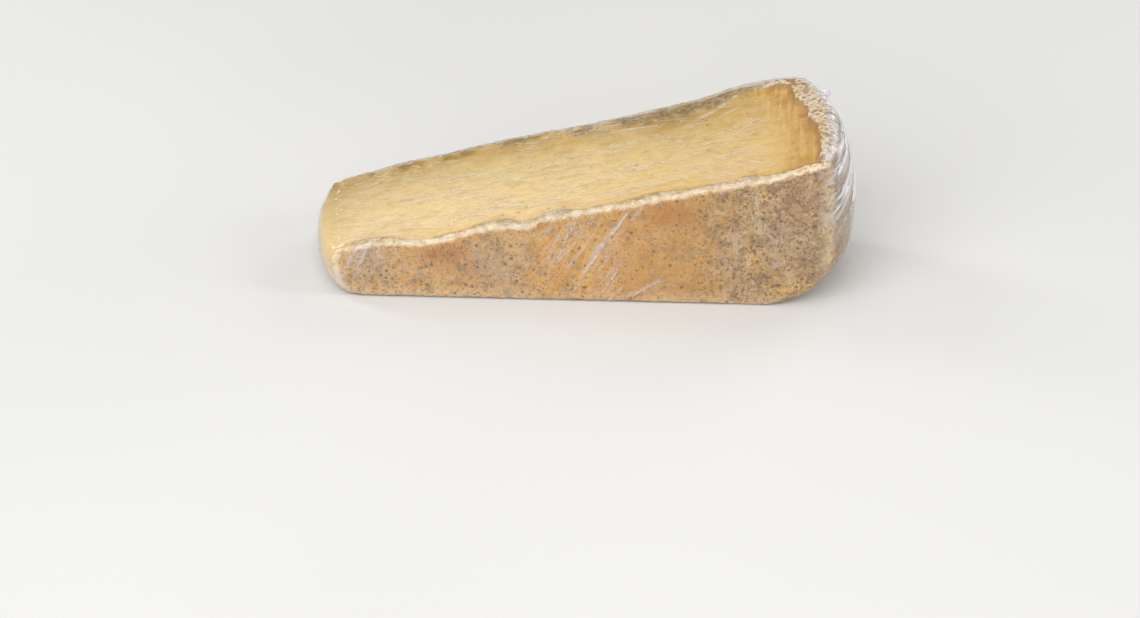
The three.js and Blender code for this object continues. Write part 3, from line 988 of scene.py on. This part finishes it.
bubble_tones = BUBBLE_BROWN, BUBBLE_CREAM, BUBBLE_CREAM, BUBBLE_BROWN
bubble_stops = list(zip((0.17, 0.36, 0.68, 0.9), bubble_tones))
patchy = reckon("MULTIPLY_ADD", clumps, 0.9, -0.45)
bubbly = reckon("MULTIPLY_ADD", small, 0.7, plus(lump_value, -0.35))
bubble_colour = ramp(plus(bubbly, patchy), bubble_stops)
gold_share = spread(medium, 0.42, 0.62, 0.0, 0.45)
bubble_colour = mixed(gold_share, bubble_colour, BUBBLE_GOLD)
mould_colour = mixed(spread(small, 0.38, 0.62), MOULD_LIGHT, MOULD_DARK)
cracks = plus(lump_value, times(tiny, 0.5))
cream = mixed(spread(clumps, 0.46, 0.6), CREAM, CREAM_DARK)
crust_layers = [
    (spread(along_x, -77 * MM, -83 * MM, 0.0, 0.8), CREAM_PALE),
    (spread(cracks, 0.62, 0.3, 0.0, 0.6), CRACK),
    (times(spread(rind_depth, -1.9, 0.2), 0.6), RIM_TAN),
    (times(amber_value, 0.85), bubble_colour),
    (times(mouldy_value, spread(medium, 0.3, 0.6, 0.6, 1.0)), mould_colour),
]
crust_colour = layered(cream, crust_layers)
print("the crust has", len(crust_layers), "layers of colour")

# %% Rind
RIND_BANDS = [
    (-84, (0.58, 0.355, 0.115)),
    (-54, (0.585, 0.33, 0.09)),
    (-17.6, (0.595, 0.32, 0.08)),
    (-16.6, (0.62, 0.30, 0.05)),
    (18, (0.575, 0.275, 0.042)),
    (42, (0.49, 0.26, 0.06)),
    (56, (0.40, 0.245, 0.095)),
    (84, (0.33, 0.205, 0.10)),
]
STAIN_PALE, STAIN_BROWN, FOOT = (0.64, 0.41, 0.14), (0.44, 0.25, 0.10), (0.74, 0.52, 0.30)
PATCH_COLOURS = {
    "brown": (0.40, 0.13, 0.01),
    "grey": (0.46, 0.325, 0.20),
    "gold": (0.70, 0.42, 0.13),
}

span = cad_high[0] - cad_low[0]
band_stops = [((x_mm * MM - cad_low[0]) / span, colour) for x_mm, colour in RIND_BANDS]
wires = {"Value": along_x, "From Min": cad_low[0], "From Max": cad_high[0]}
straight_share = wired("ShaderNodeMapRange", wires).outputs["Result"]
rind_layers = [
    (spread(medium, 0.35, 0.7, 0.0, 0.4), STAIN_PALE),
    (spread(large, 0.5, 0.7, 0.0, 0.3), STAIN_BROWN),
]
for patch_name, patch_colour in PATCH_COLOURS.items():
    uneven = spread(medium, 0.25, 0.7, 0.4, 1.0)
    rind_layers.append((times(stored(tree, patch_name), uneven), patch_colour))
rind_layers.append((spread(above_floor, 6 * MM, 1.5 * MM, 0.0, 0.45), FOOT))
rind_colour = layered(ramp(straight_share, band_stops), rind_layers)

# %% Mould on the rind
GREYNESS = [(0.0, 0.68), (0.39, 0.66), (0.43, 0.42), (0.68, 0.4), (0.8, 1.0)]
BLOTCH, SALT, DOT = (0.26, 0.165, 0.085), (0.37, 0.23, 0.11), (0.12, 0.08, 0.05)
BLOOM_GREY, BLOOM_PALE = (0.585, 0.45, 0.31), (0.70, 0.54, 0.35)
CORNER_CREAM, TORN_RIDGE, TORN_PIT = (0.72, 0.56, 0.32), (0.72, 0.50, 0.26), (0.16, 0.10, 0.06)

greyness = ramp(straight_share, [(at, (grey,) * 3) for at, grey in GREYNESS])
greyness = wired("ShaderNodeSeparateColor", {"Color": greyness}).outputs[0]
blotches = spread(noise_at(place, 3.4 * MM, 3.0), 0.48, 0.66)
blotches = times(blotches, times(greyness, 0.85))
grey_bloom = spread(noise_at(place, 4.2 * MM, 4.0, 0.6), 0.49, 0.62)
grey_bloom = times(grey_bloom, times(greyness, 0.5))
grey_bloom = times(grey_bloom, spread(stored(tree, "brown"), 0.0, 0.8, 1.0, 0.1))
pepper = times(spread(noise_at(place, 1.25 * MM, 5.0), 0.53, 0.68), greyness)
fine_dots = dots(place, 1.1 * MM, times(greyness, 0.55))
coarse_dots = dots(place, 1.9 * MM, times(greyness, 0.16))
all_dots = reckon("MAXIMUM", times(fine_dots, 0.65), times(coarse_dots, 0.75))
all_dots = reckon("MAXIMUM", all_dots, times(pepper, 0.75))
pale_bloom = times(spread(small, 0.53, 0.72), times(greyness, 0.42))
corner_share = times(stored(tree, "corner"), spread(small, 0.35, 0.6, 0.35, 1.0))
torn_value = stored(tree, "torn")
mould_layers = [
    (blotches, BLOTCH),
    (grey_bloom, BLOOM_GREY),
    (spread(tiny, 0.38, 0.62, 0.0, 0.35), SALT),
    (all_dots, DOT),
    (pale_bloom, BLOOM_PALE),
    (corner_share, CORNER_CREAM),
    (spread(torn_value, 0.08, 0.35, 0.0, 0.75), TORN_RIDGE),
    (spread(torn_value, -0.15, -0.6, 0.0, 0.85), TORN_PIT),
]
rind_colour = layered(rind_colour, mould_layers)
print("the rind has", len(rind_layers) + len(mould_layers), "layers of colour")

# %% Put paste, crust and rind together
ragged = plus(times(small, 1.6), times(tiny, 0.5))
paste_edge = plus(paste_depth, ragged)
clumpy = reckon("MULTIPLY_ADD", clumps, 3.0, plus(ragged, -1.5))
rind_edge = plus(rind_depth, clumpy)
soft_border = reckon("MULTIPLY_ADD", mouldy_value, 2.2, 1.3)
paste_share = spread(paste_edge, 0.9, soft_border)
rind_share = spread(rind_edge, 0.6, 1.5)
colour = mixed(paste_share, crust_colour, paste_colour)
colour = mixed(rind_share, colour, rind_colour)
tree.links.new(colour, cheese_shader.inputs["Base Color"])
rough = plus(times(rind_share, 0.25), spread(small, 0.3, 0.7, 0.45, 0.6))
tree.links.new(rough, cheese_shader.inputs["Roughness"])
grainy = plus(small, times(tiny, 0.4))
grainy = reckon("SUBTRACT", grainy, times(all_dots, 0.5))
relief = times(grainy, spread(paste_share, 0.0, 1.0, 1.0, 0.25))
bump = wired("ShaderNodeBump", {"Height": relief, "Strength": 1.0, "Distance": 0.35 * MM})
tree.links.new(bump.outputs["Normal"], cheese_shader.inputs["Normal"])
for socket, value in {
    "Specular IOR Level": 0.35,
    "Subsurface Weight": 0.12,
    "Subsurface Radius": (1.0, 0.6, 0.25),
    "Subsurface Scale": 2 * MM,
}.items():
    cheese_shader.inputs[socket].default_value = value
cheese.data.materials.append(cheese_material)

# %% [markdown]
# ## The film's material
# Clear film shows itself mostly by its gloss: it mirrors the lamps where it faces them, more so at a
# flat angle. So the shader is clear, mixed with a mirror by Fresnel. Where the film is bunched it
# turns milky, by the haze stored on the mesh; on the folds, along the back edge and at the heel that
# milk is also painted highlight, and a milky rim where the film is seen edge-on is painted sheen.
# Fine creases follow the pull of the film: lengthwise on the cut, aslant on the sides, and outwards
# from where it is gathered. Thin milky lines along them are painted highlights, and a darker tint
# beside them is painted shade.

# %% The group for creases
CREASE_OUTPUTS = ("Height", "Line", "Shade", "Wave")
creases = bpy.data.node_groups.new("creases", "ShaderNodeTree")
creases.interface.new_socket("Place", in_out="INPUT", socket_type="NodeSocketVector")
for socket_name in CREASE_OUTPUTS:
    creases.interface.new_socket(socket_name, in_out="OUTPUT", socket_type="NodeSocketFloat")
crease_place = add_node(creases, "NodeGroupInput").outputs["Place"]


def contour(value, level, width):
    """A thin line wherever the noise crosses this level."""
    away = reckon("ABSOLUTE", reckon("SUBTRACT", value, level))
    return spread(away, 0.0, width, 1.0, 0.0)


def with_faint(strong, faint):
    """Lines of both kinds, the second a little fainter."""
    return reckon("MAXIMUM", strong, times(faint, 0.8))


wave = noise_at(crease_place, 1.0, 1.5, 0.5)
little = noise_at(crease_place, 0.45, 1.0, 0.3)
kept = spread(noise_at(crease_place, 2.3, 1.0), 0.36, 0.62)
lines = times(with_faint(contour(wave, 0.5, 0.04), contour(little, 0.53, 0.05)), kept)
shades = with_faint(contour(wave, 0.44, 0.045), contour(little, 0.47, 0.05))
relief = reckon("MULTIPLY_ADD", wave, 0.5, times(lines, 0.3))
relief = reckon("MULTIPLY_ADD", little, 0.3, relief)
wired("NodeGroupOutput", dict(zip(CREASE_OUTPUTS, (relief, lines, shades, wave))))


def creased(vector, size, turn=(0, 0, 0)):
    """Places the group for creases, with the length and width of one crease and its turn."""
    wires = {"Vector": vector, "Rotation": turn, "Scale": size}
    moved = wired("ShaderNodeMapping", wires, vector_type="TEXTURE")
    return wired("ShaderNodeGroup", {"Place": moved.outputs[0]}, node_tree=creases)


def blended(share, first, second):
    """Mixes two values: the first where the share is 0, the second where it is 1."""
    return wired("ShaderNodeMix", {0: share, 2: first, 3: second}).outputs[0]


# %% Which creases lie where
film_material, tree, plain_shader, place = new_material("clear film")
tree.nodes.remove(plain_shader)
lengthwise = creased(place, (11 * MM, 1.9 * MM, 4 * MM))
aslant = creased(place, (1.7 * MM, 9 * MM, 11 * MM), (0, radians(36), 0))
outwards = creased(stored(tree, "fan", "Vector"), (0.05, 17, 1))
upright, gathered = stored(tree, "upright"), stored(tree, "gathered")
found = {}
for output in CREASE_OUTPUTS:
    on_sides = blended(upright, lengthwise.outputs[output], aslant.outputs[output])
    found[output] = blended(gathered, on_sides, outwards.outputs[output])

# %% Clear, milky and mirroring
CLEAR, SHADED, MILK = (1, 1, 1), (0.87, 0.83, 0.745), (0.73, 0.70, 0.715)
MOST_MIRROR, RIM_SHEEN_POWER, RIM_SHEEN_MILK = 0.3, 7.0, 0.45
TOP_HIGHLIGHT, SIDE_HIGHLIGHT = 0.3, 0.42
creasing = stored(tree, "creasing")
wires = {"Height": times(found["Height"], creasing), "Strength": 1.0, "Distance": 0.26 * MM}
film_normal = wired("ShaderNodeBump", wires).outputs["Normal"]
fresnel = wired("ShaderNodeFresnel", {"IOR": 1.45, "Normal": film_normal}).outputs[0]
fresnel = reckon("MINIMUM", fresnel, MOST_MIRROR)
# Where the film is seen edge-on it turns milky: a painted sheen along its rims.
edge = add_node(tree, "ShaderNodeLayerWeight", {"Blend": 0.5}).outputs["Facing"]
edge = times(reckon("POWER", edge, RIM_SHEEN_POWER), RIM_SHEEN_MILK)
cloud = spread(found["Wave"], 0.36, 0.64)
# The haze is brightened along the crease lines as painted highlight, and in soft clouds.
banding = reckon("MULTIPLY_ADD", found["Line"], 1.3, 0.2)
banding = reckon("MULTIPLY_ADD", cloud, 0.8, banding)
# Thin milky lines along the creases are painted highlights.
fine_highlight = times(found["Line"], blended(upright, TOP_HIGHLIGHT, SIDE_HIGHLIGHT))
fine_highlight = times(fine_highlight, creasing)
milky = reckon("MAXIMUM", times(stored(tree, "haze"), banding), edge)
milky = reckon("MAXIMUM", milky, fine_highlight)
# Beside each crease the clear film is tinted darker: painted shade.
tint = mixed(times(found["Shade"], creasing), CLEAR, SHADED)
clear = wired("ShaderNodeBsdfTransparent", {"Color": tint})
milk = add_node(tree, "ShaderNodeBsdfDiffuse", {"Color": opaque(MILK)})
wires = {"Color": opaque(CLEAR), "Roughness": 0.12, "Normal": film_normal}
mirror = wired("ShaderNodeBsdfGlossy", wires)
body = wired("ShaderNodeMixShader", {0: milky, 1: clear.outputs[0], 2: milk.outputs[0]})
whole = wired("ShaderNodeMixShader", {0: fresnel, 1: body.outputs[0], 2: mirror.outputs[0]})
tree.links.new(whole.outputs[0], tree.nodes["Material Output"].inputs["Surface"])
film.data.materials.append(film_material)
twist.data.materials.append(film_material)

# %% [markdown]
# ## Floor and light
# The wedge lies on a plain pale floor. One large soft lamp stands over the camera's left shoulder
# and gives most of the light. A weak one overhead and one at the right fill the shadows. Two more
# behind, to the left and right, draw the bright lines along the film.

# %% Floor and lamps
bpy.ops.object.select_all(action="DESELECT")
bpy.ops.mesh.primitive_plane_add(size=6, location=(0, 0, 0))
floor = bpy.context.object
floor.name = "floor"
floor_material, tree, floor_shader, place = new_material("pale floor")
cloudy = noise_at(place, 0.4, 2.0)
FLOOR_DARK, FLOOR_LIGHT = (0.60, 0.595, 0.58), (0.64, 0.635, 0.62)
floor_colour = mixed(spread(cloudy, 0.3, 0.7), FLOOR_DARK, FLOOR_LIGHT)
tree.links.new(floor_colour, floor_shader.inputs["Base Color"])
floor_shader.inputs["Roughness"].default_value = 0.75
floor.data.materials.append(floor_material)

# Each lamp has its place and its width and height in metres, and its watts.
LAMPS = {
    "over the shoulder": ((-0.45, -1.15, 0.85), (1.6, 1.5), 26.5),
    "overhead": ((-0.05, 0.0, 1.25), (0.8, 0.8), 3.5),
    "right": ((1.1, -0.15, 0.5), (0.25, 0.6), 4.5),
    "behind right": ((0.8, 1.0, 0.7), (0.8, 0.8), 5),
    "behind left": ((-0.85, 0.45, 0.62), (0.2, 0.7), 3),
}
for lamp_name, (spot, (wide, high_side), watts) in LAMPS.items():
    bpy.ops.object.light_add(type="AREA", location=spot)
    lamp = bpy.context.object
    lamp.name = lamp_name
    lamp.data.shape = "RECTANGLE"
    lamp.data.size, lamp.data.size_y = wide, high_side
    lamp.data.energy = watts
    lamp.rotation_euler = Vector(spot).to_track_quat("Z", "Y").to_euler()

world = bpy.data.worlds.new("studio")
bpy.context.scene.world = world
world.use_nodes = True
background = world.node_tree.nodes["Background"]
background.inputs["Color"].default_value = (1, 1, 1, 1)
background.inputs["Strength"].default_value = 0.32
bpy.context.scene.view_settings.view_transform = "Standard"

# %% [markdown]
# ## Hand over
# Each piece rides on the one body and stands for the imported solid.

# %% Hand over
for piece, finish in ((cheese, "cheese"), (film, "film"), (twist, "film")):
    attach(piece, "root")
    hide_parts("wrapped_wedge")
    print(piece.name, "has", len(piece.data.polygons) * 2, "triangles")
